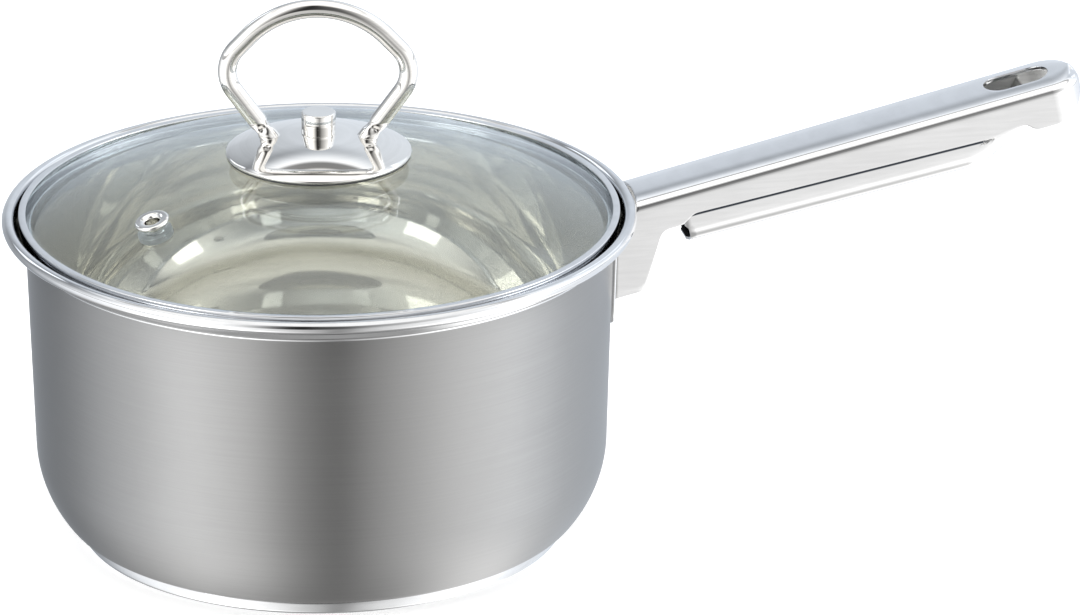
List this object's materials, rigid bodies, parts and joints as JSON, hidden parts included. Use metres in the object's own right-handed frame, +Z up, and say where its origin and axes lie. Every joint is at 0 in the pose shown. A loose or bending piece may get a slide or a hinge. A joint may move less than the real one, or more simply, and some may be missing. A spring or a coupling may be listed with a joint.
{
  "type": "saucepan with glass lid",
  "caption": "Round steel saucepan with a leaning brushed wall, curled rim, sandwich base, long stamped handle with a hanging slot, and a domed glass lid with a loop knob and a steam vent.",
  "frame": {"origin": "centre of the underside of the base, on the surface that the pan stands on", "axes": "+Z up, along the axis of the pan; the handle points 12 degrees from +X towards +Y, and the loop of the lid lies in the XZ plane"},
  "size_m": [0.2972, 0.174, 0.1527],
  "materials": {
    "brushed_steel": "brushed round the wall",
    "polished_steel": "polished",
    "satin_steel": "satin",
    "bright_plating": "mirror bright",
    "core_aluminium": "plain",
    "lid_glass": "clear tempered",
    "silicone": "matte"
  },
  "bodies": {
    "pan": {"pan_shell": "brushed_steel", "base_core": "core_aluminium", "base_cap": "polished_steel", "handle_plate": "polished_steel", "handle_cover": "polished_steel", "handle_insert": "satin_steel"},
    "lid": {"lid_glass": "lid_glass", "lid_ring": "polished_steel", "vent_eyelet": "polished_steel", "vent_washer": "silicone", "knob_plate": "bright_plating", "knob_seal": "silicone", "knob_loop": "bright_plating", "cap_nut": "bright_plating", "lid_screw": "polished_steel", "screw_washer": "polished_steel", "glass_pad": "silicone"}
  },
  "joints": [
    {"name": "lid_lift", "type": "slide", "parent": "pan", "child": "lid", "axis": [0, 0, 1], "range_m": [0, 0.12]}
  ]
}
